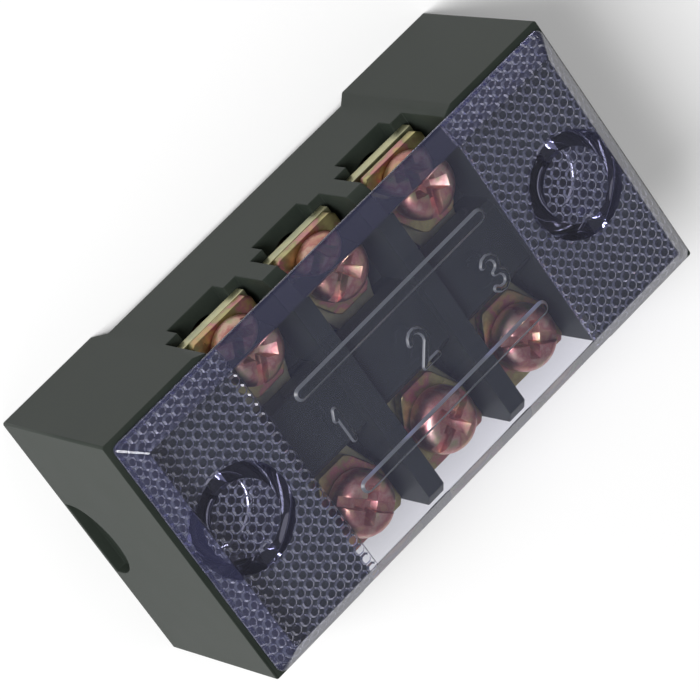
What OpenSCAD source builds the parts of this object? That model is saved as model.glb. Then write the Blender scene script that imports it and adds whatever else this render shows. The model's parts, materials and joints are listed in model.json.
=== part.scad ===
// Covered barrier terminal strip, three poles.
// A moulded base carries one through strap per pole, with a clamp screw and a
// clamp washer at each end. A clear cover plate snaps into the two mounting holes.
// Frame: origin at the centre of the footprint, +X along the row of poles, +Z up.
// Front is the +Y side, rear is the -Y side. All sizes are in millimetres.

/* [Base block] */
// Length along the row of poles
length = 45; // [42.6:0.1:60]
// Width across the end blocks
width = 22.2; // [21.6:0.1:30]
// Height of the end blocks, without the cover
base_height = 14.6; // [14.1:0.1:20]
// Radius of the upright corners of the end blocks
corner_radius = 0.2; // [0.1:0.05:1]
// Length of the waist between the end blocks
waist_length = 24.8; // [24.6:0.1:25.4]
// How far the long walls of the waist stand back from the end blocks
waist_inset = 0.4; // [0.1:0.05:0.8]
// How far the underside of the waist stands above the feet
waist_rise = 0.7; // [0.2:0.1:1.5]
// Length of the sloping step between the waist and an end block
waist_step = 1; // [0.4:0.1:1.4]

/* [Poles] */
// Distance from one pole to the next
pole_pitch = 8.8; // [8.1:0.1:8.8]
// Width of a wire mouth
mouth_width = 7.2; // [6.8:0.1:7.4]
// Height of the sill on which the strap lies
sill_height = 9; // [8:0.1:9.4]
// Width of the lower slot in the sill
sill_slot_width = 4.7; // [4.6:0.1:6]
// Depth of the lower slot below the sill
sill_slot_depth = 1.5; // [1.3:0.1:2.5]
// Height of the barriers between the poles
barrier_height = 13.6; // [12.9:0.1:14]
// Slope cut off the front top edge of each barrier
barrier_chamfer = 0.9; // [0.3:0.1:1.2]
// Height of the bridge that covers the middle of each strap
bridge_height = 12.7; // [11.4:0.1:12.8]
// Width of that bridge across the strip
bridge_width = 5.8; // [4:0.1:6.4]
// Chamfer along the upper edges of the bridge
bridge_chamfer = 0.5; // [0.2:0.1:0.8]

/* [Mounting holes] */
// Distance between the two mounting holes
hole_spacing = 35; // [34.6:0.1:36]
// Diameter of a mounting hole
hole_diameter = 4.4; // [3.2:0.1:5]
// Diameter of the counterbore that takes the screw head and the cover post
counterbore_diameter = 8.3; // [7:0.05:8.6]
// Height of the counterbore floor
counterbore_floor = 6; // [5:0.1:8]

/* [End recess] */
// Width of the arched recess in each end wall
recess_width = 6.6; // [4:0.1:7]
// Height of the top of the arched recess
recess_height = 4.2; // [4.1:0.1:5.4]
// Depth of the arched recess
recess_depth = 0.9; // [0.6:0.1:1.5]
// Height of the lip left under the arched recess
recess_lip = 0.35; // [0.2:0.05:0.5]

/* [Strap] */
// Length of a strap across the strip
strap_length = 20; // [19.6:0.1:20.8]
// Width of a strap at its ends
strap_width = 6.4; // [5.8:0.1:6.6]
// Width of a strap under the bridge
strap_neck_width = 3.8; // [3:0.1:5]
// Thickness of a strap
strap_thickness = 1; // [0.6:0.1:1.2]
// Length of the full-width pad at each end of a strap
strap_pad_length = 3.4; // [2:0.1:4.5]
// Outer diameter of the tapped collar under each screw
collar_diameter = 4; // [3.8:0.1:4.2]
// Height of the tapped collar below the strap
collar_height = 1.2; // [0.6:0.1:1.3]

/* [Clamp washer] */
// Width of a clamp washer at its outer end
washer_width = 6; // [5.4:0.1:6.4]
// Width of a clamp washer at its inner end
washer_inner_width = 3.4; // [3:0.1:5]
// Length of a clamp washer across the strip
washer_length = 6.1; // [5.8:0.1:6.3]
// Thickness of a clamp washer
washer_thickness = 0.9; // [0.6:0.1:1.1]
// Cut across the sharp corners of a clamp washer
washer_corner = 0.4; // [0.2:0.1:0.8]

/* [Clamp screw] */
// Distance of each screw from the centre line of the strip
screw_offset = 7.3; // [7:0.1:7.5]
// Outer diameter of the thread
screw_diameter = 2.9; // [2.4:0.1:3.1]
// Length of the screw below its head
screw_length = 6; // [4.5:0.1:6.2]
// Diameter of the pan head
head_diameter = 5; // [4.4:0.1:5.4]
// Height of the pan head
head_height = 2; // [1.6:0.1:2.2]
// Width of the driver slot
driver_slot_width = 0.85; // [0.6:0.05:1.2]
// Depth of the driver slot
driver_slot_depth = 0.8; // [0.5:0.1:1]
// Span of the short arm that makes the slot a cross
driver_cross_span = 3; // [2:0.1:4]
// Depth of the cross at its middle
driver_cross_depth = 1.3; // [0.8:0.1:1.4]
// Height at which the loosened screw of the last front terminal stands
loose_lift = 0.5; // [0:0.05:0.8]

/* [Cover] */
// How far the cover stands back from the outline of the base
cover_inset = 0.35; // [0.1:0.05:0.8]
// Thickness of the cover plate
cover_thickness = 1.75; // [1.4:0.05:2.4]
// Radius of the upright corners of the cover
cover_corner = 0.6; // [0.3:0.1:1.2]
// Height of the upright rim below the sloping edge of the cover
cover_rim = 0.25; // [0.15:0.05:0.5]
// Thickness of the seating pads under the two ends of the cover
pad_thickness = 0.28; // [0.15:0.01:0.5]
// Length of the clear window between the seating pads
window_length = 23.5; // [20:0.1:24]
// Border left plain round a seating pad
pad_border = 0.5; // [0.3:0.1:1]
// Length of the two ribs on top of the cover
rib_length = 19.7; // [10:0.1:20]
// Width of a rib
rib_width = 1.15; // [0.6:0.05:1.6]
// Height of a rib above the cover
rib_height = 0.2; // [0.1:0.05:0.4]
// Distance from one rib to the other
rib_spacing = 8.7; // [6:0.1:12]

/* [Cover posts] */
// Wall of the split post
post_wall = 1.2; // [0.8:0.1:1.6]
// Length of the post below the seating pad
post_length = 4.8; // [3:0.1:5.5]
// Width of the two slots that split the post
post_slot = 1.3; // [0.8:0.1:2]
// Solid ring left between the post slots and the cover plate
post_collar = 0.8; // [0.4:0.1:1.4]
// Height of the snap bead
bead_height = 0.6; // [0.4:0.1:0.9]
// Lead-in slope at the tip of the post
post_lead_in = 0.4; // [0.2:0.1:0.7]

/* [Fits] */
// Gap left between faces that rest on each other but can part
seat_gap = 0.02; // [0.01:0.01:0.05]
// Radial gap between the thread and the tapped hole of the strap
thread_gap = 0.05; // [0.02:0.01:0.1]
// Radial gap between the screw and the hole of the clamp washer
washer_gap = 0.08; // [0.03:0.01:0.1]
// Gap between a strap and the tunnel under the bridge
tunnel_gap = 0.05; // [0.02:0.01:0.1]
// Radial gap between the tapped collar and its pocket in the base
pocket_gap = 0.2; // [0.1:0.05:0.3]
// Free depth below the tip of a screw
tip_gap = 1; // [0.5:0.1:1.5]
// Radial gap between a cover post and its counterbore
post_gap = 0.15; // [0.12:0.01:0.3]
// Radial gap between the snap bead of a post and the counterbore
bead_gap = 0.07; // [0.04:0.01:0.1]

/* [Hidden] */

POLES = [1, 2, 3];
FRONT = 1;
REAR = -1;
CIRCLE_SIDES = 64;
// Solids are cut this much past a face, so that no skin is left on it.
PAST = 1;

// Turn of each screw's driver slot, front row then rear row.
DRIVER_ANGLES = [[62, 38, 70], [-48, 25, -35]];

waist_width = width - 2 * waist_inset;
strap_top = sill_height + strap_thickness;
washer_bottom = strap_top + seat_gap;
head_bottom = washer_bottom + washer_thickness + seat_gap;
cover_seat = base_height + seat_gap;
cover_bottom = cover_seat + pad_thickness;
cover_top = cover_bottom + cover_thickness;
cover_length = length - 2 * cover_inset;
cover_width = width - 2 * cover_inset;
cover_slope = cover_thickness - cover_rim;
pocket_floor = head_bottom - screw_length - tip_gap;
pocket_radius = collar_diameter / 2 + pocket_gap;
post_radius = counterbore_diameter / 2 - post_gap;
bead_radius = counterbore_diameter / 2 - bead_gap;

function pole_x(pole) = (pole - 2) * pole_pitch;
function screw_y(row) = row * screw_offset;
function driver_angle(pole, row) = DRIVER_ANGLES[row == FRONT ? 0 : 1][pole - 1];
function lift(pole, row) = pole == 3 && row == FRONT ? loose_lift : 0;

// ---- shapes used by more than one piece ----

module rounded_block(size_x, size_y, height, radius) {
    for (sx = [-1, 1], sy = [-1, 1])
        translate([sx * (size_x / 2 - radius), sy * (size_y / 2 - radius), 0])
            cylinder(r = radius, h = height, $fn = CIRCLE_SIDES);
    translate([-size_x / 2 + radius, -size_y / 2, 0])
        cube([size_x - 2 * radius, size_y, height]);
    translate([-size_x / 2, -size_y / 2 + radius, 0])
        cube([size_x, size_y - 2 * radius, height]);
}

// A box given by its centre in x, its y and z ranges and its width in x.
module slab(centre_x, size_x, y_range, z_range) {
    translate([centre_x - size_x / 2, min(y_range), min(z_range)])
        cube([size_x, abs(y_range[1] - y_range[0]), abs(z_range[1] - z_range[0])]);
}

// An outline in the XZ plane, drawn out along Y about the centre line.
module across(depth) {
    translate([0, depth / 2, 0]) rotate([90, 0, 0]) linear_extrude(depth) children();
}

// An outline in the YZ plane, drawn out along X about the centre line.
module along(depth) {
    translate([-depth / 2, 0, 0]) rotate([90, 0, 90]) linear_extrude(depth) children();
}

// ---- base ----

// The long wall of the waist stands back, with a sloping step to each end block.
module waist_side_cut() {
    half = waist_length / 2;
    for (side = [-1, 1])
        linear_extrude(base_height + PAST)
            polygon([[-half - waist_step - PAST, side * (width / 2 + waist_inset * PAST / waist_step)],
                     [-half, side * waist_width / 2],
                     [half, side * waist_width / 2],
                     [half + waist_step + PAST, side * (width / 2 + waist_inset * PAST / waist_step)]]);
}

// The underside of the waist stands clear of the surface, so the block rests on its ends.
module waist_under_cut() {
    half = waist_length / 2;
    run_out = waist_step * PAST / waist_rise;
    across(width + 2 * PAST)
        polygon([[-half - waist_step - run_out, -PAST],
                 [-half, waist_rise],
                 [half, waist_rise],
                 [half + waist_step + run_out, -PAST]]);
}

// Everything over the barriers is open, and their outer top edges slope.
module barrier_top_cut() {
    edge = waist_width / 2;
    along(waist_length - 2 * waist_step)
        polygon([[-edge - PAST, base_height + PAST],
                 [-edge - PAST, barrier_height - barrier_chamfer - PAST],
                 [-edge, barrier_height - barrier_chamfer],
                 [-edge + barrier_chamfer, barrier_height],
                 [edge - barrier_chamfer, barrier_height],
                 [edge, barrier_height - barrier_chamfer],
                 [edge + PAST, barrier_height - barrier_chamfer - PAST],
                 [edge + PAST, base_height + PAST]]);
}

// The bridge between two barriers is lower than they are, with chamfered edges.
module bridge_top_cut(pole) {
    half = bridge_width / 2;
    translate([pole_x(pole), 0, 0]) along(mouth_width)
        polygon([[-half - PAST, bridge_height - bridge_chamfer - PAST],
                 [-half, bridge_height - bridge_chamfer],
                 [-half + bridge_chamfer, bridge_height],
                 [half - bridge_chamfer, bridge_height],
                 [half, bridge_height - bridge_chamfer],
                 [half + PAST, bridge_height - bridge_chamfer - PAST],
                 [half + PAST, base_height + PAST],
                 [-half - PAST, base_height + PAST]]);
}

// One wire mouth: the well over the sill, the slot in the sill and the screw pocket.
module mouth_cut(pole, row) {
    x = pole_x(pole);
    inner = row * bridge_width / 2;
    outer = row * (width / 2 + PAST);
    slab(x, mouth_width, [inner, outer], [sill_height, base_height + PAST]);
    slab(x, sill_slot_width, [screw_y(row), outer],
         [sill_height - sill_slot_depth, sill_height + PAST]);
    translate([x, screw_y(row), pocket_floor])
        cylinder(r = pocket_radius, h = sill_height + PAST - pocket_floor, $fn = CIRCLE_SIDES);
}

// The tunnel that holds the neck of a strap under the bridge.
module tunnel_cut(pole) {
    translate([pole_x(pole), 0, sill_height])
        linear_extrude(strap_thickness + tunnel_gap)
            strap_outline(tunnel_gap);
}

module mounting_hole_cut(side) {
    translate([side * hole_spacing / 2, 0, 0]) {
        translate([0, 0, -PAST])
            cylinder(d = hole_diameter, h = base_height + 2 * PAST, $fn = CIRCLE_SIDES);
        translate([0, 0, counterbore_floor])
            cylinder(d = counterbore_diameter, h = base_height + PAST - counterbore_floor,
                     $fn = CIRCLE_SIDES);
    }
}

// A finger recess in the end wall. Its lip keeps the lower edge of the foot whole.
module end_recess_cut(side) {
    arch = recess_height - recess_width / 2;
    half = recess_width / 2;
    translate([side * (length / 2 - recess_depth / 2 + PAST / 2), 0, 0]) {
        slab(0, recess_depth + PAST, [-half, half], [recess_lip, arch]);
        intersection() {
            translate([0, 0, arch]) rotate([0, 90, 0])
                cylinder(d = recess_width, h = recess_depth + PAST, center = true,
                         $fn = CIRCLE_SIDES);
            slab(0, recess_depth + 2 * PAST, [-half - PAST, half + PAST],
                 [recess_lip, recess_height + PAST]);
        }
    }
}

module base() {
    color([0.16, 0.18, 0.17]) difference() {
        rounded_block(length, width, base_height, corner_radius);
        waist_side_cut();
        waist_under_cut();
        barrier_top_cut();
        for (pole = POLES) {
            bridge_top_cut(pole);
            tunnel_cut(pole);
            for (row = [FRONT, REAR]) mouth_cut(pole, row);
        }
        for (side = [-1, 1]) {
            mounting_hole_cut(side);
            end_recess_cut(side);
        }
    }
}

// ---- straps ----

// Plan of a strap: a wide pad at each end, narrowing to the neck under the bridge.
module strap_outline(gap) {
    half_neck = strap_neck_width / 2 + gap;
    half_pad = strap_width / 2 + gap;
    neck_y = bridge_width / 2 + gap;
    pad_y = strap_length / 2 - strap_pad_length - gap;
    end_y = strap_length / 2;
    polygon([[half_neck, -neck_y], [half_neck, neck_y], [half_pad, pad_y], [half_pad, end_y],
             [-half_pad, end_y], [-half_pad, pad_y], [-half_neck, neck_y],
             [-half_neck, -neck_y], [-half_pad, -pad_y], [-half_pad, -end_y],
             [half_pad, -end_y], [half_pad, -pad_y]]);
}

module terminal_strap(pole) {
    color([0.72, 0.66, 0.45]) translate([pole_x(pole), 0, 0]) difference() {
        union() {
            translate([0, 0, sill_height]) linear_extrude(strap_thickness) strap_outline(0);
            for (row = [FRONT, REAR])
                translate([0, screw_y(row), sill_height - collar_height])
                    cylinder(d = collar_diameter, h = collar_height + strap_thickness / 2,
                             $fn = CIRCLE_SIDES);
        }
        for (row = [FRONT, REAR])
            translate([0, screw_y(row), sill_height - collar_height - PAST])
                cylinder(r = screw_diameter / 2 + thread_gap,
                         h = collar_height + strap_thickness + 2 * PAST, $fn = CIRCLE_SIDES);
    }
}

// ---- clamp washers ----

// The outer end is square to grip the wire; the inner end narrows with the strap.
module washer_outline() {
    outer = strap_length / 2;
    inner = outer - washer_length;
    shoulder = strap_length / 2 - strap_pad_length;
    half_outer = washer_width / 2;
    half_inner = washer_inner_width / 2;
    right = [[half_inner - washer_corner, inner],
             [half_inner, inner + washer_corner],
             [half_outer, shoulder],
             [half_outer, outer - washer_corner],
             [half_outer - washer_corner, outer]];
    left = [for (i = [4:-1:0]) [-right[i].x, right[i].y]];
    polygon(concat(right, left));
}

module clamp_washer(pole, row) {
    color([0.78, 0.66, 0.36])
        translate([pole_x(pole), 0, washer_bottom + lift(pole, row)]) difference() {
            rotate([0, 0, row == FRONT ? 0 : 180])
                linear_extrude(washer_thickness) washer_outline();
            translate([0, screw_y(row), -PAST])
                cylinder(r = screw_diameter / 2 + washer_gap, h = washer_thickness + 2 * PAST,
                         $fn = CIRCLE_SIDES);
        }
}

// ---- clamp screws ----

// Half section of the pan head: a short upright flank, then a quarter-ellipse crown.
function head_profile() =
    let (flank = 0.35 * head_height, flat = 0.3 * head_diameter, steps = 8)
    concat([[0, 0], [head_diameter / 2, 0]],
           [for (i = [0:steps])
               let (a = 90 * i / steps)
               [flat + (head_diameter / 2 - flat) * cos(a),
                flank + (head_height - flank) * sin(a)]],
           [[0, head_height]]);

module driver_recess() {
    slot_bottom = head_height - driver_slot_depth;
    cross_bottom = head_height - driver_cross_depth;
    slab(0, head_diameter + PAST, [-driver_slot_width / 2, driver_slot_width / 2],
         [slot_bottom, head_height + PAST]);
    for (turn = [0, 90])
        rotate([0, 0, turn])
            slab(0, driver_cross_span, [-driver_slot_width / 2, driver_slot_width / 2],
                 [cross_bottom, head_height + PAST]);
}

module clamp_screw(pole, row) {
    tip = screw_diameter / 5;
    color([0.74, 0.6, 0.5])
        translate([pole_x(pole), screw_y(row), head_bottom + lift(pole, row)]) {
            difference() {
                rotate_extrude($fn = CIRCLE_SIDES) polygon(head_profile());
                rotate([0, 0, driver_angle(pole, row)]) driver_recess();
            }
            translate([0, 0, tip - screw_length])
                cylinder(d = screw_diameter, h = screw_length - tip, $fn = CIRCLE_SIDES);
            translate([0, 0, -screw_length])
                cylinder(d1 = screw_diameter - 2 * tip, d2 = screw_diameter, h = tip,
                         $fn = CIRCLE_SIDES);
        }
}

// ---- cover ----

// Section of the plate: an upright rim, a 45 degree slope and the flat top.
module plate_section(size) {
    half = size / 2;
    polygon([[-half, cover_bottom], [half, cover_bottom],
             [half, cover_bottom + cover_rim], [half - cover_slope, cover_top],
             [cover_slope - half, cover_top], [-half, cover_bottom + cover_rim]]);
}

module cover_plate() {
    intersection() {
        translate([0, 0, cover_bottom])
            rounded_block(cover_length, cover_width, cover_thickness, cover_corner);
        along(cover_length + 2 * PAST) plate_section(cover_width);
        across(cover_width + 2 * PAST) plate_section(cover_length);
    }
}

// The pad under each end of the plate, which sits on the end block of the base.
module seating_pad(side) {
    inner = window_length / 2;
    outer = cover_length / 2 - pad_border;
    slab(side * (inner + outer) / 2, outer - inner,
         [-cover_width / 2 + pad_border, cover_width / 2 - pad_border],
         [cover_seat, cover_bottom]);
}

module cover_rib(side) {
    straight = rib_length - rib_width;
    translate([0, side * rib_spacing / 2, cover_top]) {
        slab(0, straight, [-rib_width / 2, rib_width / 2], [0, rib_height]);
        for (end = [-1, 1])
            translate([end * straight / 2, 0, 0])
                cylinder(d = rib_width, h = rib_height, $fn = CIRCLE_SIDES);
    }
}

// A tube with a snap bead near its tip, split by a slot on each long side of the strip.
module cover_post(side) {
    tip = cover_seat - post_length;
    translate([side * hole_spacing / 2, 0, tip]) difference() {
        union() {
            cylinder(r1 = post_radius - post_lead_in, r2 = post_radius, h = post_lead_in,
                     $fn = CIRCLE_SIDES);
            translate([0, 0, post_lead_in])
                cylinder(r = post_radius, h = post_length - post_lead_in, $fn = CIRCLE_SIDES);
            translate([0, 0, post_lead_in])
                cylinder(r = bead_radius, h = bead_height, $fn = CIRCLE_SIDES);
        }
        translate([0, 0, -PAST])
            cylinder(r = post_radius - post_wall, h = post_length + PAST,
                     $fn = CIRCLE_SIDES);
        slab(0, post_slot, [-bead_radius - PAST, bead_radius + PAST],
             [-PAST, post_length - post_collar]);
    }
}

module cover() {
    color([0.55, 0.52, 0.72, 0.45]) {
        cover_plate();
        for (side = [-1, 1]) {
            seating_pad(side);
            cover_rib(side);
            cover_post(side);
        }
    }
}

base();
cover();
terminal_strap(1);  // terminal_strap_1
terminal_strap(2);  // terminal_strap_2
terminal_strap(3);  // terminal_strap_3
clamp_washer(1, FRONT);  // clamp_washer_1_front
clamp_washer(2, FRONT);  // clamp_washer_2_front
clamp_washer(3, FRONT);  // clamp_washer_3_front
clamp_washer(1, REAR);  // clamp_washer_1_rear
clamp_washer(2, REAR);  // clamp_washer_2_rear
clamp_washer(3, REAR);  // clamp_washer_3_rear
clamp_screw(1, FRONT);  // clamp_screw_1_front
clamp_screw(2, FRONT);  // clamp_screw_2_front
clamp_screw(3, FRONT);  // clamp_screw_3_front
clamp_screw(1, REAR);  // clamp_screw_1_rear
clamp_screw(2, REAR);  // clamp_screw_2_rear
clamp_screw(3, REAR);  // clamp_screw_3_rear
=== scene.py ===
# %% [markdown]
# # A covered barrier terminal strip
#
# The real object is a block of dark moulded plastic with three poles. Each pole is a metal strap that
# runs right through the block, with a clamp washer and a clamp screw at both ends. A clear cover with
# a faint violet tint clips over the lot.
#
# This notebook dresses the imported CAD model. Every piece is made in metres in the CAD model's own
# frame: +X runs along the row of poles, +Y is the front row of terminals, and +Z is up.
# Plain sizes are written in millimetres, and MM turns them into metres.

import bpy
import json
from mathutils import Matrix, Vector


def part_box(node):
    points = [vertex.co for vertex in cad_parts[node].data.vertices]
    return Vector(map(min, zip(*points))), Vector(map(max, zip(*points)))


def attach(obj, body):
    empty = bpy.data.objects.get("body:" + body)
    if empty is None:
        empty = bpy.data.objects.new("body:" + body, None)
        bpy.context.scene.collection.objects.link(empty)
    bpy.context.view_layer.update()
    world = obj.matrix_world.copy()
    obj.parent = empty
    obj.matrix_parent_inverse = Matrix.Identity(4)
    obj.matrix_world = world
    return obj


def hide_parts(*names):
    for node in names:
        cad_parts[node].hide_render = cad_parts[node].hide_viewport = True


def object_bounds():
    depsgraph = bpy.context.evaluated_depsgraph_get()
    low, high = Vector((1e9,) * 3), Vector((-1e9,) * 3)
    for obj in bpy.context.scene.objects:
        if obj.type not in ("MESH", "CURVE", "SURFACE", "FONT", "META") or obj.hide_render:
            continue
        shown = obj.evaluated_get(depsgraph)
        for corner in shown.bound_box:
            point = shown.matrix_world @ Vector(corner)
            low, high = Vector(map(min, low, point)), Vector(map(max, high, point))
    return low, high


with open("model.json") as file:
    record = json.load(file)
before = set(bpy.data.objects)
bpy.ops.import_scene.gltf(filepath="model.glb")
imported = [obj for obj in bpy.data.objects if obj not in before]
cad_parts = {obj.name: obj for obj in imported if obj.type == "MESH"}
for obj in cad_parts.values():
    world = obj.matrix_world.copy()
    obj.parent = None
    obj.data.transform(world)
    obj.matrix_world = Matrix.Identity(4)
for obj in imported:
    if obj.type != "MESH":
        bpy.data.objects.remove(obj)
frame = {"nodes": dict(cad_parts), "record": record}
print("nodes in the CAD model:", len(frame["nodes"]))

# %% Shared tools
import json
import math

import bmesh
import bpy
from mathutils import Matrix, Vector

MM = 0.001
cad_bounds = [list(corner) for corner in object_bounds()]
print("CAD box, mm:", [[round(v / MM, 2) for v in corner] for corner in cad_bounds])

# %% [markdown]
# ## Camera
#
# A product picture is mostly its viewpoint. Here the camera stands high over one end of the front
# row, far away with a long lens, so that parallel edges stay nearly parallel, and it is rolled over
# so that the block lies across the picture's diagonal. The camera could be turned by hand with Euler
# angles; building its three axes as vectors keeps the roll easy to read and to change.

# %% Camera
VIEW_CENTRE = Vector((-1.03, -0.22, 8.0)) * MM
VIEW_AZIMUTH = math.radians(128.66)
VIEW_ELEVATION = math.radians(57.71)
VIEW_ROLL = math.radians(-100.82)
VIEW_DISTANCE = 333.4 * MM
VIEW_LENS = 240.0


def add_camera():
    back = Vector((math.cos(VIEW_ELEVATION) * math.cos(VIEW_AZIMUTH),
                   math.cos(VIEW_ELEVATION) * math.sin(VIEW_AZIMUTH),
                   math.sin(VIEW_ELEVATION)))
    level_up = (Vector((0, 0, 1)) - back * back.z).normalized()
    level_right = level_up.cross(back)
    up = level_up * math.cos(VIEW_ROLL) + level_right * math.sin(VIEW_ROLL)
    right = up.cross(back)
    data = bpy.data.cameras.new("view")
    data.lens = VIEW_LENS
    data.sensor_width = 36
    data.clip_start = 0.01
    camera = bpy.data.objects.new("view", data)
    bpy.context.collection.objects.link(camera)
    turn = Matrix((right, up, back)).transposed().to_4x4()
    camera.matrix_world = Matrix.Translation(VIEW_CENTRE + back * VIEW_DISTANCE) @ turn
    bpy.context.scene.camera = camera
    return camera


camera = add_camera()
print("camera at, mm:", [round(v / MM, 1) for v in camera.matrix_world.translation])

# %% [markdown]
# ## Studio
#
# The block stands on a white sheet under one big soft lamp, with even light from all round. A plain
# white floor under plain lamps turns grey, so the sheet also glows a little, but only for rays that
# come from the eye, a mirror or a clear piece. The part's own light stays as it is, and its shadow
# still falls on the sheet.

# %% White sheet
FLOOR_HALF = 600 * MM
FLOOR_GLOW = 0.12
FLOOR_WHITE = 0.9


def node_material(name):
    material = bpy.data.materials.new(name)
    material.use_nodes = True
    nodes = material.node_tree.nodes
    nodes.clear()
    return material, nodes, material.node_tree.links


def either(nodes, links, first, second):
    """One of two light path answers, as a number that is 1 if either is."""
    larger = nodes.new("ShaderNodeMath")
    larger.operation = "MAXIMUM"
    links.new(first, larger.inputs[0])
    links.new(second, larger.inputs[1])
    return larger.outputs[0]


def mixed(nodes, links, share, first, second):
    """A mix of two shaders; share is a socket, and 1 means all of the second."""
    mix = nodes.new("ShaderNodeMixShader")
    links.new(share, mix.inputs[0])
    links.new(first, mix.inputs[1])
    links.new(second, mix.inputs[2])
    return mix.outputs[0]


def emission(nodes, strength):
    glow = nodes.new("ShaderNodeEmission")
    glow.inputs["Strength"].default_value = strength
    return glow.outputs[0]


def sheet_finish():
    material, nodes, links = node_material("white_sheet")
    paper = nodes.new("ShaderNodeBsdfDiffuse")
    paper.inputs["Color"].default_value = (FLOOR_WHITE, FLOOR_WHITE, FLOOR_WHITE, 1)
    path = nodes.new("ShaderNodeLightPath").outputs
    seen = either(nodes, links, path["Is Camera Ray"], path["Is Glossy Ray"])
    seen = either(nodes, links, seen, path["Is Transmission Ray"])
    glow = mixed(nodes, links, seen, emission(nodes, 0), emission(nodes, FLOOR_GLOW))
    both = nodes.new("ShaderNodeAddShader")
    links.new(paper.outputs[0], both.inputs[0])
    links.new(glow, both.inputs[1])
    output = nodes.new("ShaderNodeOutputMaterial")
    links.new(both.outputs[0], output.inputs["Surface"])
    return material


def add_floor():
    mesh = bpy.data.meshes.new("white_sheet")
    low = cad_bounds[0][2]
    corners = [(-FLOOR_HALF, -FLOOR_HALF, low), (FLOOR_HALF, -FLOOR_HALF, low),
               (FLOOR_HALF, FLOOR_HALF, low), (-FLOOR_HALF, FLOOR_HALF, low)]
    mesh.from_pydata(corners, [], [(0, 1, 2, 3)])
    mesh.materials.append(sheet_finish())
    floor = bpy.data.objects.new("white_sheet", mesh)
    bpy.context.collection.objects.link(floor)
    return floor


floor = add_floor()
print("white sheet, mm across:", round(floor.dimensions.x / MM))

# %% World and lamp
WORLD_LEVEL = 0.34


def add_world():
    world = bpy.data.worlds.new("studio")
    world.use_nodes = True
    background = world.node_tree.nodes["Background"]
    background.inputs["Color"].default_value = (1, 1, 1, 1)
    background.inputs["Strength"].default_value = WORLD_LEVEL
    bpy.context.scene.world = world


def add_lamp(name, azimuth, elevation, distance, size, watts):
    """A square lamp that faces the origin; angles in degrees, lengths in metres."""
    data = bpy.data.lights.new(name, "AREA")
    data.shape = "SQUARE"
    data.size = size
    data.energy = watts
    lamp = bpy.data.objects.new(name, data)
    bpy.context.collection.objects.link(lamp)
    a, e = math.radians(azimuth), math.radians(elevation)
    way = Vector((math.cos(e) * math.cos(a), math.cos(e) * math.sin(a), math.sin(e)))
    lamp.location = way * distance
    lamp.rotation_euler = way.to_track_quat("Z", "Y").to_euler()
    return lamp


bpy.context.scene.view_settings.view_transform = "Standard"
add_world()
lamp = add_lamp("soft_box", azimuth=158, elevation=42, distance=0.9, size=0.42, watts=8.9)
print("world level", WORLD_LEVEL, "and one lamp of", round(lamp.data.energy, 1), "W")

# %% [markdown]
# ## Finishes
#
# Four materials cover the whole part: satin moulded plastic, clear plastic, plated strip, and yellow
# passivated zinc. Each is a small node tree that reads the piece's own coordinates, so the pattern
# stays put when a piece moves, and nothing has to be unwrapped. An image texture could carry the same
# patterns, but it would need seams and could not be sharp at every distance. These few helpers keep
# the trees short.

# %% Node helpers
def add_noise(nodes, links, where, scale, detail=2.0, roughness=0.5):
    noise = nodes.new("ShaderNodeTexNoise")
    noise.inputs["Scale"].default_value = scale
    noise.inputs["Detail"].default_value = detail
    noise.inputs["Roughness"].default_value = roughness
    links.new(where, noise.inputs["Vector"])
    return noise


def add_ramp(nodes, links, factor, stops):
    ramp = nodes.new("ShaderNodeValToRGB")
    elements = ramp.color_ramp.elements
    while len(elements) < len(stops):
        elements.new(0.5)
    for element, (place, colour) in zip(elements, stops):
        element.position = place
        element.color = (*colour, 1)
    links.new(factor, ramp.inputs["Fac"])
    return ramp


def add_range(nodes, links, value, low, high):
    spread = nodes.new("ShaderNodeMapRange")
    spread.inputs["To Min"].default_value = low
    spread.inputs["To Max"].default_value = high
    links.new(value, spread.inputs["Value"])
    return spread


def add_bump(nodes, links, height, shader, depth, strength):
    bump = nodes.new("ShaderNodeBump")
    bump.inputs["Distance"].default_value = depth
    bump.inputs["Strength"].default_value = strength
    links.new(height, bump.inputs["Height"])
    links.new(bump.outputs["Normal"], shader.inputs["Normal"])
    return bump


def finish_tree(nodes, links, surface, volume=None):
    output = nodes.new("ShaderNodeOutputMaterial")
    links.new(surface, output.inputs["Surface"])
    if volume is not None:
        links.new(volume, output.inputs["Volume"])


print("node helpers: noise, colour ramp, range, bump and output")

# %% [markdown]
# ### Satin moulded plastic
#
# The block is moulded in a hard, dark, slightly green resin. A fine spark-eroded grain in the mould
# gives it a satin sheen. Two noises do this: a fine one for the grain, as a very shallow bump, and a
# broad one that shifts the colour and the roughness a little, as flow in the mould does. One flat
# colour would be quicker, but it would look like a drawing and not like a moulding.

# %% Base plastic
BASE_DARK = (0.0200, 0.0260, 0.0210)
BASE_LIGHT = (0.0300, 0.0365, 0.0305)
GRAIN_SCALE = 9000
FLOW_SCALE = 260


def base_plastic():
    material, nodes, links = node_material("base_plastic")
    where = nodes.new("ShaderNodeTexCoord").outputs["Object"]
    flow = add_noise(nodes, links, where, FLOW_SCALE, detail=4)
    grain = add_noise(nodes, links, where, GRAIN_SCALE, detail=1)
    shader = nodes.new("ShaderNodeBsdfPrincipled")
    shader.inputs["IOR"].default_value = 1.5
    shader.inputs["Specular IOR Level"].default_value = 0.12
    colour = add_ramp(nodes, links, flow.outputs["Fac"], [(0.3, BASE_DARK), (0.75, BASE_LIGHT)])
    links.new(colour.outputs["Color"], shader.inputs["Base Color"])
    rough = add_range(nodes, links, flow.outputs["Fac"], 0.36, 0.5)
    links.new(rough.outputs["Result"], shader.inputs["Roughness"])
    add_bump(nodes, links, grain.outputs["Fac"], shader, depth=0.012 * MM, strength=0.6)
    finish_tree(nodes, links, shader.outputs[0])
    return material


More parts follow.
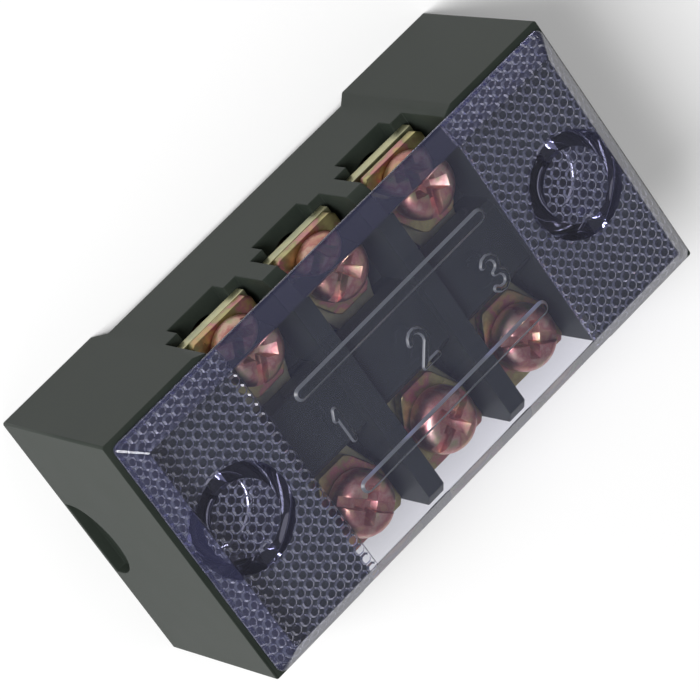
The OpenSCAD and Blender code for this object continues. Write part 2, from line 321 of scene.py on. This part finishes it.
base_finish = base_plastic()
print("block finish:", base_finish.name)

# %% [markdown]
# ### Clear plastic
#
# The cover is one thick clear moulding, so light must really bend in it: the stippled ends and the
# posts only look right with true refraction. The violet tint sits in the volume and not on the
# surface, so that long ways through the plastic, as along the rim, come out deeper in colour than
# the thin window. Lamps can't find their way through bent glass in the time that a render has, so
# rays that carry plain light (shadow and diffuse rays) pass straight through as if it were a tint.
#
# A mould is polished where the plastic has to be looked through, and left duller on its slopes. That
# dullness is a mist: a small share of plain scattered light mixed into the glass. The same tree makes
# four grades of it: the clear faces, the pits, the raised strokes and the sloping edge.

# %% Clear cover plastic
COVER_IOR = 1.49
COVER_TINT = (0.60, 0.60, 0.88)
COVER_TINT_DENSITY = 110
COVER_LAMP_TINT = (0.86, 0.85, 0.92)
COVER_WAVE_SCALE = 420
GRAIN_MIST = (0.52, 0.56, 0.68)
EDGE_MIST = (0.30, 0.32, 0.80)


def misted_glass(nodes, links, roughness, mist, mist_colour):
    """Clear plastic; mist is the share of light that the surface scatters, as fine grain does."""
    where = nodes.new("ShaderNodeTexCoord").outputs["Object"]
    wave = add_noise(nodes, links, where, COVER_WAVE_SCALE)
    clear = nodes.new("ShaderNodeBsdfPrincipled")
    clear.inputs["Base Color"].default_value = (1, 1, 1, 1)
    clear.inputs["Transmission Weight"].default_value = 1
    clear.inputs["Roughness"].default_value = roughness
    clear.inputs["IOR"].default_value = COVER_IOR
    add_bump(nodes, links, wave.outputs["Fac"], clear, depth=0.02 * MM, strength=0.35)
    grain = nodes.new("ShaderNodeBsdfDiffuse")
    grain.inputs["Color"].default_value = (*mist_colour, 1)
    surface = nodes.new("ShaderNodeMixShader")
    surface.inputs[0].default_value = mist
    links.new(clear.outputs[0], surface.inputs[1])
    links.new(grain.outputs[0], surface.inputs[2])
    return surface.outputs[0]


def clear_plastic(name, roughness, mist, mist_colour):
    material, nodes, links = node_material(name)
    glass = misted_glass(nodes, links, roughness, mist, mist_colour)
    straight = nodes.new("ShaderNodeBsdfTransparent")
    straight.inputs["Color"].default_value = (*COVER_LAMP_TINT, 1)
    path = nodes.new("ShaderNodeLightPath").outputs
    plain_light = either(nodes, links, path["Is Shadow Ray"], path["Is Diffuse Ray"])
    surface = mixed(nodes, links, plain_light, glass, straight.outputs[0])
    tint = nodes.new("ShaderNodeVolumeAbsorption")
    tint.inputs["Color"].default_value = (*COVER_TINT, 1)
    tint.inputs["Density"].default_value = COVER_TINT_DENSITY
    finish_tree(nodes, links, surface, tint.outputs[0])
    return material


cover_finish = clear_plastic("clear_cover", roughness=0.025, mist=0.012, mist_colour=EDGE_MIST)
pit_finish = clear_plastic("misted_pits", roughness=0.15, mist=0.14, mist_colour=GRAIN_MIST)
stroke_finish = clear_plastic("misted_strokes", roughness=0.3, mist=0.16, mist_colour=GRAIN_MIST)
edge_finish = clear_plastic("misted_edges", roughness=0.05, mist=0.04, mist_colour=EDGE_MIST)
COVER_FINISHES = (cover_finish, pit_finish, stroke_finish, edge_finish)
print("cover finishes:", ", ".join(finish.name for finish in COVER_FINISHES))

# %% [markdown]
# ### Plated metals
#
# The clamp screws and washers are steel with a yellow passivated zinc plating. Its film is thin
# enough to show interference colours: rose, olive, straw and orange in soft patches. A noise drives a
# colour ramp with those colours, on a metallic shader. The straps carry a duller, greyer plating.
# A thin film shader could work the colours out from the film's thickness, but a ramp can be matched
# to a real plating colour by colour.

# %% Metal finishes
ZINC_PATCHES = [
    (0.30, (0.24, 0.26, 0.11)),
    (0.41, (0.44, 0.39, 0.17)),
    (0.49, (0.33, 0.27, 0.13)),
    (0.55, (0.46, 0.18, 0.19)),
    (0.61, (0.50, 0.33, 0.15)),
    (0.70, (0.26, 0.28, 0.14)),
]
SCREW_PATCHES = [
    (0.30, (0.34, 0.33, 0.16)),
    (0.41, (0.50, 0.29, 0.20)),
    (0.50, (0.40, 0.16, 0.15)),
    (0.59, (0.52, 0.34, 0.27)),
    (0.70, (0.34, 0.33, 0.18)),
]
STRAP_PATCHES = [
    (0.30, (0.36, 0.37, 0.25)),
    (0.50, (0.52, 0.50, 0.30)),
    (0.70, (0.42, 0.43, 0.30)),
]


def plated_metal(name, patches, patch_scale, rough_low, rough_high):
    material, nodes, links = node_material(name)
    where = nodes.new("ShaderNodeTexCoord").outputs["Object"]
    patch = add_noise(nodes, links, where, patch_scale, detail=4, roughness=0.6)
    wear = add_noise(nodes, links, where, 6 * patch_scale, detail=3)
    shader = nodes.new("ShaderNodeBsdfPrincipled")
    shader.inputs["Metallic"].default_value = 1
    colour = add_ramp(nodes, links, patch.outputs["Fac"], patches)
    links.new(colour.outputs["Color"], shader.inputs["Base Color"])
    rough = add_range(nodes, links, wear.outputs["Fac"], rough_low, rough_high)
    links.new(rough.outputs["Result"], shader.inputs["Roughness"])
    add_bump(nodes, links, wear.outputs["Fac"], shader, depth=0.02 * MM, strength=0.5)
    finish_tree(nodes, links, shader.outputs[0])
    return material


washer_finish = plated_metal("washer_zinc", ZINC_PATCHES, patch_scale=330,
                             rough_low=0.22, rough_high=0.42)
screw_finish = plated_metal("screw_zinc", SCREW_PATCHES, patch_scale=480,
                            rough_low=0.34, rough_high=0.52)
strap_finish = plated_metal("strap_metal", STRAP_PATCHES, patch_scale=380,
                            rough_low=0.3, rough_high=0.5)
print("metal finishes:", ", ".join(m.name for m in (washer_finish, screw_finish, strap_finish)))

# %% [markdown]
# ## Block, straps and washers
#
# These three keep the shape of their CAD solids. A real moulding or stamping never has a razor edge,
# though, and light tells: a sharp edge is a hard line and a rounded one is a soft glint. So each is a
# copy of its CAD mesh with the flat faces made whole again and the edges rolled by a small bevel. A
# bevel in the render only (the shader's Bevel node) would be quicker, but the mesh would stay sharp.

# %% Copies with rolled edges
WELD_REACH = 0.0005 * MM
FLAT_ANGLE = math.radians(1.0)
EDGE_ANGLE = math.radians(33)
SMOOTH_ANGLE = math.radians(38)


def new_piece(name, mesh, material, body):
    """An object with one material that rides on a body of the CAD model."""
    mesh.materials.clear()
    mesh.materials.append(material)
    piece = bpy.data.objects.new(name, mesh)
    bpy.context.collection.objects.link(piece)
    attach(piece, body)
    return piece


def shade_by_angle(mesh, angle):
    """Smooth shading, with a hard line at each edge that is sharper than angle."""
    mesh.polygons.foreach_set("use_smooth", [True] * len(mesh.polygons))
    mesh.set_sharp_from_angle(angle=angle)


def applied(piece):
    """The piece's mesh with its modifiers in place."""
    bpy.context.view_layer.update()
    seen = piece.evaluated_get(bpy.context.evaluated_depsgraph_get())
    mesh = bpy.data.meshes.new_from_object(seen)
    old = piece.data
    piece.modifiers.clear()
    piece.data = mesh
    bpy.data.meshes.remove(old)
    return mesh


def clean_copy(node):
    """A copy of a CAD mesh whose triangles are joined into whole flat faces again."""
    mesh = frame["nodes"][node].data.copy()
    for layer in list(mesh.attributes):
        if layer.name == "custom_normal":
            mesh.attributes.remove(layer)
    bm = bmesh.new()
    bm.from_mesh(mesh)
    bmesh.ops.remove_doubles(bm, verts=bm.verts, dist=WELD_REACH)
    bmesh.ops.dissolve_limit(bm, angle_limit=FLAT_ANGLE, verts=bm.verts, edges=bm.edges)
    bm.to_mesh(mesh)
    bm.free()
    return mesh


def roll_edges(piece, width, angle):
    """Bevels every edge that is sharper than angle."""
    bevel = piece.modifiers.new("rolled_edges", "BEVEL")
    bevel.limit_method = "ANGLE"
    bevel.angle_limit = angle
    bevel.width = width
    bevel.segments = 2
    return applied(piece)


def even_normals(piece):
    """Makes wide flat faces shade flat, so that only the rolled edges beside them look round."""
    weigh = piece.modifiers.new("even_normals", "WEIGHTED_NORMAL")
    weigh.keep_sharp = True
    return applied(piece)


def rolled_copy(node, name, material, body, edge):
    piece = new_piece(name, clean_copy(node), material, body)
    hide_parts(node)
    mesh = roll_edges(piece, edge, EDGE_ANGLE)
    mesh.name = name
    shade_by_angle(mesh, SMOOTH_ANGLE)
    even_normals(piece)
    return piece


# %% Block, straps and washers
BASE_EDGE = 0.1 * MM
METAL_EDGE = 0.12 * MM
POLES = (1, 2, 3)
ROWS = ("front", "rear")

block = rolled_copy("base", "block", base_finish, "block", BASE_EDGE)
print("block:", len(block.data.polygons), "faces")
for pole in POLES:
    rolled_copy(f"terminal_strap_{pole}", f"strap_{pole}", strap_finish, "block",
                METAL_EDGE)
    for row in ROWS:
        rolled_copy(f"clamp_washer_{pole}_{row}", f"washer_{pole}_{row}", washer_finish,
                    f"washer_{pole}_{row}", METAL_EDGE)
print("straps:", len(POLES), " washers:", len(POLES) * len(ROWS))

# %% [markdown]
# ## Clamp screws
#
# A pan-head screw is a turned piece, so its head, shank and tip are one outline spun round an axis.
# The thread is the same grid of points with its radius pushed in and out as the helix climbs past.
# The driver recess, a slot across a tapered cross, is cut with two small solids. A screw could be
# put together from loose cylinders, but then the recess would have no walls to catch the light.

# %% Solids and cuts
def solid_from_rings(name, rings):
    """A closed solid from rings of points, all of the same count, capped at both ends."""
    bm = bmesh.new()
    loops = [[bm.verts.new(point) for point in ring] for ring in rings]
    count = len(loops[0])
    for below, above in zip(loops, loops[1:]):
        for i in range(count):
            j = (i + 1) % count
            bm.faces.new((below[i], below[j], above[j], above[i]))
    bm.faces.new(list(reversed(loops[0])))
    bm.faces.new(loops[-1])
    bmesh.ops.recalc_face_normals(bm, faces=bm.faces)
    mesh = bpy.data.meshes.new(name)
    bm.to_mesh(mesh)
    bm.free()
    return mesh


def loose_object(name, mesh):
    piece = bpy.data.objects.new(name, mesh)
    bpy.context.collection.objects.link(piece)
    return piece


def combine(piece, tools, operation):
    """Joins tools to the piece, or cuts them from it, and removes the tools."""
    for tool in tools:
        step = piece.modifiers.new("cut", "BOOLEAN")
        step.operation = operation
        step.solver = "MANIFOLD"
        step.object = tool
        applied(piece)
        mesh = tool.data
        bpy.data.objects.remove(tool)
        bpy.data.meshes.remove(mesh)
    return piece


print("solid and cutting helpers are ready")

# %% Screw outline
SCREW_SIDES = 64
HEAD_RADIUS = 2.5
HEAD_HEIGHT = 2.0
HEAD_FLANK = 0.7
HEAD_FLAT = 1.5
HEAD_EDGE = 0.12
EDGE_MIDDLE = 0.3
CROWN_STEPS = 12
THREAD_RADIUS = 1.45
THREAD_DEPTH = 0.27
THREAD_PITCH = 0.5
THREAD_FLANKS = 0.85
THREAD_STEPS = 8
PLAIN_NECK = 0.5
SCREW_LENGTH = 6.0
TIP_LENGTH = 0.58
TIP_TAPER = 0.4
TIP_RADIUS = 0.4


def circle_ring(radius, height):
    turn = 2 * math.pi / SCREW_SIDES
    return [Vector((radius * math.cos(i * turn), radius * math.sin(i * turn), height)) * MM
            for i in range(SCREW_SIDES)]


def thread_ring(height):
    """One ring of the shank: a V groove whose place round the ring follows the helix."""
    ring = []
    for i in range(SCREW_SIDES):
        turn = 2 * math.pi * i / SCREW_SIDES
        along = (height / THREAD_PITCH - i / SCREW_SIDES) % 1.0
        groove = max(0.0, 1 - abs(2 * along - 1) / THREAD_FLANKS)
        fade_out = min(1.0, max(0.0, (height + SCREW_LENGTH) / TIP_LENGTH))
        fade_in = min(1.0, max(0.0, (-height - PLAIN_NECK) / THREAD_PITCH))
        radius = THREAD_RADIUS - THREAD_DEPTH * groove * fade_in
        radius -= (1 - fade_out) * TIP_TAPER * THREAD_RADIUS
        ring.append(Vector((radius * math.cos(turn), radius * math.sin(turn), height)) * MM)
    return ring


def screw_rings():
    """The whole screw from its tip up, with the underside of the head at height 0."""
    rings = [circle_ring(TIP_RADIUS, -SCREW_LENGTH)]
    steps = int(SCREW_LENGTH / THREAD_PITCH * THREAD_STEPS)
    for step in range(steps):
        rings.append(thread_ring(-SCREW_LENGTH + SCREW_LENGTH * step / steps))
    rings.append(circle_ring(THREAD_RADIUS, 0))
    rings.append(circle_ring(HEAD_RADIUS - HEAD_EDGE, 0))
    rings.append(circle_ring(HEAD_RADIUS - EDGE_MIDDLE * HEAD_EDGE, EDGE_MIDDLE * HEAD_EDGE))
    rings.append(circle_ring(HEAD_RADIUS, HEAD_EDGE))
    for step in range(CROWN_STEPS):
        angle = 0.5 * math.pi * step / CROWN_STEPS
        rings.append(circle_ring(HEAD_FLAT + (HEAD_RADIUS - HEAD_FLAT) * math.cos(angle),
                                 HEAD_FLANK + (HEAD_HEIGHT - HEAD_FLANK) * math.sin(angle)))
    rings.append(circle_ring(HEAD_FLAT, HEAD_HEIGHT))
    return rings


print("screw outline:", len(screw_rings()), "rings of", SCREW_SIDES, "points")

# %% [markdown]
# ### Driver recess
#
# The head takes a flat driver or a cross driver: a slot runs right across it, and a cross with tapered
# walls goes deeper. Both cutters are wider above the head than at their floors, as the punch that
# makes them is. They are solids from two rings each, cut away with a Boolean modifier. Each screw was
# tightened by hand, so each recess points its own way.

# %% Driver recess and screws
SLOT_WIDTH = 0.85
SLOT_DEPTH = 0.8
SLOT_OVERRUN = 0.5
SLOT_TAPER = (0.86, 1.05)
CROSS_REACH = 1.5
CROSS_FLOOR_REACH = 0.45
CROSS_OVERRUN = 0.1
CROSS_DEPTH = 1.3
CROSS_TAPER = (0.6, 1.15)
CUT_ABOVE = 0.3
SCREW_EDGE = 0.05 * MM
SCREW_EDGE_ANGLE = math.radians(40)
SLOT_TURNS = {"front": (62, 38, 70), "rear": (-48, 25, -35)}


def cross_ring(reach, half_width, height):
    a, b = reach, half_width
    corners = [(a, -b), (a, b), (b, b), (b, a), (-b, a), (-b, b),
               (-a, b), (-a, -b), (-b, -b), (-b, -a), (b, -a), (b, -b)]
    return [Vector((x, y, height)) * MM for x, y in corners]


def slot_ring(half_width, height):
    reach = HEAD_RADIUS + SLOT_OVERRUN
    corners = [(reach, -half_width), (reach, half_width), (-reach, half_width), (-reach, -half_width)]
    return [Vector((x, y, height)) * MM for x, y in corners]


def recess_tools():
    half = SLOT_WIDTH / 2
    over = HEAD_HEIGHT + CUT_ABOVE
    slot = solid_from_rings("slot", [slot_ring(SLOT_TAPER[0] * half, HEAD_HEIGHT - SLOT_DEPTH),
                                     slot_ring(SLOT_TAPER[1] * half, over)])
    cross = solid_from_rings("cross", [
        cross_ring(CROSS_FLOOR_REACH * CROSS_REACH, CROSS_TAPER[0] * half, HEAD_HEIGHT - CROSS_DEPTH),
        cross_ring(CROSS_REACH + CROSS_OVERRUN, CROSS_TAPER[1] * half, over)])
    return [loose_object("slot", slot), loose_object("cross", cross)]


def place_mesh(mesh, matrix):
    mesh.transform(matrix)
    mesh.update()


def clamp_screw(pole, row):
    """A screw at its node's place: the top of the head and the axis are read from the node's box."""
    node = f"clamp_screw_{pole}_{row}"
    low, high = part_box(node)
    name = f"screw_{pole}_{row}"
    piece = new_piece(name, solid_from_rings(name, screw_rings()), screw_finish, name)
    combine(piece, recess_tools(), "DIFFERENCE")
    mesh = roll_edges(piece, SCREW_EDGE, SCREW_EDGE_ANGLE)
    turn = math.radians(SLOT_TURNS[row][pole - 1])
    centre = Vector(((low[0] + high[0]) / 2, (low[1] + high[1]) / 2, high[2] - HEAD_HEIGHT * MM))
    place_mesh(mesh, Matrix.Translation(centre) @ Matrix.Rotation(turn, 4, "Z"))
    shade_by_angle(mesh, SMOOTH_ANGLE)
    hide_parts(node)
    return piece


screws = [clamp_screw(pole, row) for row in ROWS for pole in POLES]
print("screws:", len(screws), " faces each:", len(screws[0].data.polygons))

# %% [markdown]
# ## Clear cover
#
# The cover is one moulding: a plate with a sloping edge, a stippled pad under each end, two split
# posts, two ribs and the circuit numbers. Clear plastic shows its inside, so the pieces are truly
# joined into one closed skin. Pieces that only overlapped would show walls inside the plastic.

# %% Cover plate
cover_low, cover_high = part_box("cover")
SIDES = (-1, 1)
RIB_RISE = 0.2
PLATE_THICKNESS = 1.75
RIM_HEIGHT = 0.25
PAD_THICKNESS = 0.28
COVER_CORNER = 0.6
LEAST_CORNER = 0.3
CORNER_STEPS = 6
INTO_PLATE = 0.4
PLATE_TOP = cover_high[2] / MM - RIB_RISE
PLATE_BOTTOM = PLATE_TOP - PLATE_THICKNESS
PAD_BOTTOM = PLATE_BOTTOM - PAD_THICKNESS
HALF_LENGTH = (cover_high[0] - cover_low[0]) / 2 / MM
HALF_WIDTH = (cover_high[1] - cover_low[1]) / 2 / MM


def rounded_ring(half_x, half_y, radius, height):
    points = []
    for quarter, (sx, sy) in enumerate(((1, 1), (-1, 1), (-1, -1), (1, -1))):
        cx, cy = sx * (half_x - radius), sy * (half_y - radius)
        for step in range(CORNER_STEPS + 1):
            angle = math.radians(90 * quarter + 90 * step / CORNER_STEPS)
            points.append(Vector((cx + radius * math.cos(angle), cy + radius * math.sin(angle),
                                  height)) * MM)
    return points


def cover_plate():
    """Rings of the plate's outline: how far each stands in, and how high above the underside."""
    slope_end = PLATE_THICKNESS - RIM_HEIGHT
    outline = [(0.10, 0.0), (0.03, 0.03), (0.0, 0.10), (0.0, RIM_HEIGHT - 0.06),
               (0.015, RIM_HEIGHT + 0.01), (0.07, RIM_HEIGHT + 0.07),
               (slope_end - 0.09, PLATE_THICKNESS - 0.09),
               (slope_end - 0.01, PLATE_THICKNESS - 0.025),
               (slope_end + 0.09, PLATE_THICKNESS)]
    rings = [rounded_ring(HALF_LENGTH - inset, HALF_WIDTH - inset,
                          max(COVER_CORNER - inset, LEAST_CORNER), PLATE_BOTTOM + rise)
             for inset, rise in outline]
    return solid_from_rings("cover", rings)


cover = new_piece("cover_moulding", cover_plate(), cover_finish, "cover")
print("cover plate, mm:", [round(v / MM, 2) for v in cover.dimensions])

# %% [markdown]
# ### Stippled pads
#
# Each end of the underside is a grid of small square pits with cut corners and sloping sides. Light
# that comes down through the plate meets those slopes at a flat angle and is thrown back, so each pit
# shows as a bright ring round a dark middle. A bump map can't do that, because it only tilts the
# light and has no walls. So the grid is real, written as one cell that is repeated.

# %% Stippled pads
WINDOW_LENGTH = 23.5
PAD_BORDER = 0.5
PIT_PITCH = 0.895
PIT_HALF = 0.42
PIT_CORNER = 0.2
PIT_DEPTH = 0.17
PIT_FLOOR_HALF = 0.28
PIT_FLOOR_CORNER = 0.14


def eight_points(half, corner):
    return [(half, -corner), (half, corner), (corner, half), (-corner, half),
            (-half, corner), (-half, -corner), (-corner, -half), (corner, -half)]


def add_pit(bm, corners, cx, cy):
    """One cell of the pad's underside: the flat land, the sloping sides and the pit's floor."""
    lip = [bm.verts.new(Vector((cx + x, cy + y, PAD_BOTTOM)) * MM)
           for x, y in eight_points(PIT_HALF, PIT_CORNER)]
    floor = [bm.verts.new(Vector((cx + x, cy + y, PAD_BOTTOM + PIT_DEPTH)) * MM)
             for x, y in eight_points(PIT_FLOOR_HALF, PIT_FLOOR_CORNER)]
    for side in range(4):
        a, b = corners[side], corners[(side + 1) % 4]
        bm.faces.new((a, b, lip[2 * side + 1], lip[2 * side]))
        bm.faces.new((b, lip[(2 * side + 2) % 8], lip[2 * side + 1]))
    for i in range(8):
        j = (i + 1) % 8
        bm.faces.new((lip[i], lip[j], floor[j], floor[i]))
    bm.faces.new(floor)


def stippled_pad(side):
    """A thin pad whose underside is pitted, and whose top reaches into the plate to join it."""
    inner = WINDOW_LENGTH / 2
    outer = HALF_LENGTH - PAD_BORDER
    half_y = HALF_WIDTH - PAD_BORDER
    count_x = round((outer - inner) / PIT_PITCH)
    count_y = round(2 * half_y / PIT_PITCH)
    step_x, step_y = (outer - inner) / count_x, 2 * half_y / count_y
    start_x = inner if side > 0 else -outer
    bm = bmesh.new()
    land = [[bm.verts.new(Vector((start_x + i * step_x, -half_y + j * step_y, PAD_BOTTOM)) * MM)
             for j in range(count_y + 1)] for i in range(count_x + 1)]
    for i in range(count_x):
        for j in range(count_y):
            corners = (land[i + 1][j], land[i + 1][j + 1], land[i][j + 1], land[i][j])
            add_pit(bm, corners, start_x + (i + 0.5) * step_x, -half_y + (j + 0.5) * step_y)
    edge = [land[i][0] for i in range(count_x + 1)]
    edge += [land[count_x][j] for j in range(1, count_y + 1)]
    edge += [land[i][count_y] for i in range(count_x - 1, -1, -1)]
    edge += [land[0][j] for j in range(count_y - 1, 0, -1)]
    top = [bm.verts.new((v.co.x, v.co.y, (PLATE_BOTTOM + INTO_PLATE) * MM)) for v in edge]
    for i in range(len(edge)):
        j = (i + 1) % len(edge)
        bm.faces.new((edge[i], edge[j], top[j], top[i]))
    bm.faces.new(top)
    bmesh.ops.recalc_face_normals(bm, faces=bm.faces)
    mesh = bpy.data.meshes.new("pad")
    bm.to_mesh(mesh)
    bm.free()
    return loose_object("pad", mesh)


pads = [stippled_pad(side) for side in SIDES]
print("pads:", len(pads), " faces each:", len(pads[0].data.polygons))

# %% [markdown]
# ### Split posts
#
# A post is a short tube with a small bead near its end that clicks into the counterbore of a mounting
# hole. A slot right across splits it into two halves, so that it can give. A tube made from two
# cylinders would have no bead and no rounded tip, so its outline is spun round, as on a lathe.

# %% Split posts
mounting_holes = next(m for m in frame["record"]["mounts"] if m["name"] == "mounting_holes")
HOLE_X = mounting_holes["dims"]["spacing_x_mm"] / 2
POST_RADIUS = 4.0
POST_BORE = 2.8
POST_BEAD = 0.08
POST_LENGTH = 4.8
POST_SLOT = 1.3
POST_COLLAR = 0.8
POST_SIDES = 96
SLOT_BELOW = 1


def ring_solid(name, outline):
    """A closed outline of (radius, height) points spun right round, as a tube."""
    bm = bmesh.new()
    loops = []
    for i in range(POST_SIDES):
        turn = 2 * math.pi * i / POST_SIDES
        loops.append([bm.verts.new(Vector((r * math.cos(turn), r * math.sin(turn), z)) * MM)
                      for r, z in outline])
    count = len(outline)
    for i in range(POST_SIDES):
        here, there = loops[i], loops[(i + 1) % POST_SIDES]
        for k in range(count):
            m = (k + 1) % count
            bm.faces.new((here[k], here[m], there[m], there[k]))
    bmesh.ops.recalc_face_normals(bm, faces=bm.faces)
    mesh = bpy.data.meshes.new(name)
    bm.to_mesh(mesh)
    bm.free()
    return mesh


def split_post(side):
    tip = PAD_BOTTOM - POST_LENGTH
    top = PLATE_BOTTOM + INTO_PLATE
    outline = [(POST_RADIUS, top), (POST_RADIUS, tip + 1.15), (POST_RADIUS + POST_BEAD, tip + 0.95),
               (POST_RADIUS + POST_BEAD, tip + 0.55), (POST_RADIUS - 0.1, tip + 0.25),
               (POST_RADIUS - 0.35, tip + 0.05), (POST_RADIUS - 0.5, tip), (POST_BORE + 0.25, tip),
               (POST_BORE + 0.08, tip + 0.05), (POST_BORE, tip + 0.2), (POST_BORE, top)]
    post = loose_object("post", ring_solid("post", outline))
    half = POST_SLOT / 2
    slot_top = PAD_BOTTOM - POST_COLLAR
    reach = POST_RADIUS + SLOT_BELOW
    slot = [[Vector((x, y, z)) * MM for x, y in ((half, -reach), (half, reach), (-half, reach),
                                                 (-half, -reach))] for z in (tip - SLOT_BELOW, slot_top)]
    combine(post, [loose_object("slot", solid_from_rings("slot", slot))], "DIFFERENCE")
    place_mesh(post.data, Matrix.Translation(Vector((side * HOLE_X, 0, 0)) * MM))
    return post


posts = [split_post(side) for side in SIDES]
print("posts, mm:", [round(v / MM, 2) for v in posts[0].dimensions], "each")

# %% [markdown]
# ### Ribs and circuit numbers
#
# Both are low raised strokes on the top face. A stroke is a small bar with sloping sides and round
# ends, swept along a few points. The numbers could come from a text object, but strokes of one width
# with round ends are what a mould cutter leaves.

# %% Ribs
RIB_LENGTH = 19.7
RIB_WIDTH = 1.15
RIB_TOP = 0.62
RIB_SPACING = 8.7
STROKE_ROUND = 8
STROKE_SINK = 0.15


def raised_bar(start, end, foot_width, top_width, rise):
    """A bar with round ends and sloping sides, from start to end on the cover's top face."""
    start, end = Vector(start), Vector(end)
    along = (end - start).normalized() if (end - start).length > 0 else Vector((1, 0))
    heading = math.atan2(along.y, along.x)
    levels = [(foot_width / 2, -STROKE_SINK), (foot_width / 2, 0.0),
              (foot_width / 2 - 0.25 * (foot_width - top_width), 0.55 * rise),
              (top_width / 2, 0.93 * rise), (top_width / 2 - 0.06, rise)]
    rings = []
    for radius, height in levels:
        ring = []
        for centre, first in ((end, -90), (start, 90)):
            for step in range(STROKE_ROUND + 1):
                angle = heading + math.radians(first + 180 * step / STROKE_ROUND)
                ring.append(Vector((centre.x + radius * math.cos(angle),
                                    centre.y + radius * math.sin(angle),
                                    PLATE_TOP + height)) * MM)
        rings.append(ring)
    return loose_object("bar", solid_from_rings("bar", rings))


def cover_rib(side):
    half = (RIB_LENGTH - RIB_WIDTH) / 2
    y = side * RIB_SPACING / 2
    return raised_bar((-half, y), (half, y), RIB_WIDTH, RIB_TOP * RIB_WIDTH, RIB_RISE)


ribs = [cover_rib(side) for side in SIDES]
print("ribs:", len(ribs), "of", RIB_LENGTH, "mm")

# %% Circuit numbers
DIGIT_HEIGHT = 3.2
DIGIT_WIDTH = 1.9
DIGIT_STROKE = 0.56
DIGIT_TOP = 0.5
DIGIT_RISE = 0.17
DIGIT_CENTRES = {1: (-8.1, 0.3), 2: (0.1, 0.3), 3: (7.9, 0.3)}


def arc_points(cx, cy, radius_x, radius_y, first, last, steps):
    points = []
    for step in range(steps + 1):
        angle = math.radians(first + (last - first) * step / steps)
        points.append((cx + radius_x * math.cos(angle), cy + radius_y * math.sin(angle)))
    return points


def digit_path(digit):
    """The stroke of a digit, on a box from -1 to 1 in both directions."""
    if digit == 1:
        return [(-0.35, 0.55), (0.1, 1.0), (0.1, -1.0)]
    if digit == 2:
        return arc_points(0, 0.42, 1.0, 0.58, 165, -35, 7) + [(-1.0, -1.0), (1.0, -1.0)]
    upper = arc_points(-0.05, 0.5, 0.9, 0.5, 150, -90, 7)
    lower = arc_points(-0.05, -0.5, 1.0, 0.5, 90, -150, 7)
    return upper + lower[1:]


def digit_bars(digit):
    cx, cy = DIGIT_CENTRES[digit]
    half_x = (DIGIT_WIDTH - DIGIT_STROKE) / 2
    half_y = (DIGIT_HEIGHT - DIGIT_STROKE) / 2
    path = [(cx + x * half_x, cy + y * half_y) for x, y in digit_path(digit)]
    return [raised_bar(a, b, DIGIT_STROKE, DIGIT_TOP * DIGIT_STROKE, DIGIT_RISE)
            for a, b in zip(path, path[1:])]


digits = {digit: digit_bars(digit) for digit in DIGIT_CENTRES}
print("strokes of each number:", {digit: len(bars) for digit, bars in digits.items()})

# %% [markdown]
# ### One skin
#
# The plate, pads, posts, ribs and numbers now become one closed skin, as the mould makes them. They
# could be left as separate objects, but each hidden wall inside clear plastic would show as a line.
# A Boolean union takes those walls away. The skin then gets its four grades of clear plastic, face by
# face: how high a face lies and how much it slopes tell whether it is a pit, a stroke or the edge.

# %% Join the cover
CLEAR, PIT, STROKE, EDGE = range(len(COVER_FINISHES))
NEAR = 0.01
STROKE_LEVEL = 0.9
PIT_LEVELS = (0.15, 0.95)
EDGE_LEVELS = (0.3, 0.95)
COVER_SMOOTH_ANGLE = math.radians(32)


def grade_of(height, level):
    """The grade of a face at a height in mm; level is 1 where it lies flat and 0 where it stands."""
    if height > PLATE_TOP + NEAR and level < STROKE_LEVEL:
        return STROKE
    if (PAD_BOTTOM + NEAR < height < PAD_BOTTOM + PIT_DEPTH - NEAR
            and PIT_LEVELS[0] < level < PIT_LEVELS[1]):
        return PIT
    if PLATE_BOTTOM < height < PLATE_TOP and EDGE_LEVELS[0] < level < EDGE_LEVELS[1]:
        return EDGE
    return CLEAR


def grade_faces(mesh):
    mesh.materials.clear()
    for finish in COVER_FINISHES:
        mesh.materials.append(finish)
    for face in mesh.polygons:
        face.material_index = grade_of(face.center.z / MM, abs(face.normal.z))


parts = [part for side_parts in zip(pads, posts, ribs) for part in side_parts]
parts += [bar for bars in digits.values() for bar in bars]
combine(cover, parts, "UNION")
grade_faces(cover.data)
shade_by_angle(cover.data, COVER_SMOOTH_ANGLE)
even_normals(cover)
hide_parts("cover")
misted = sum(face.material_index != CLEAR for face in cover.data.polygons)
print("cover:", len(cover.data.polygons), "faces, of which misted:", misted)
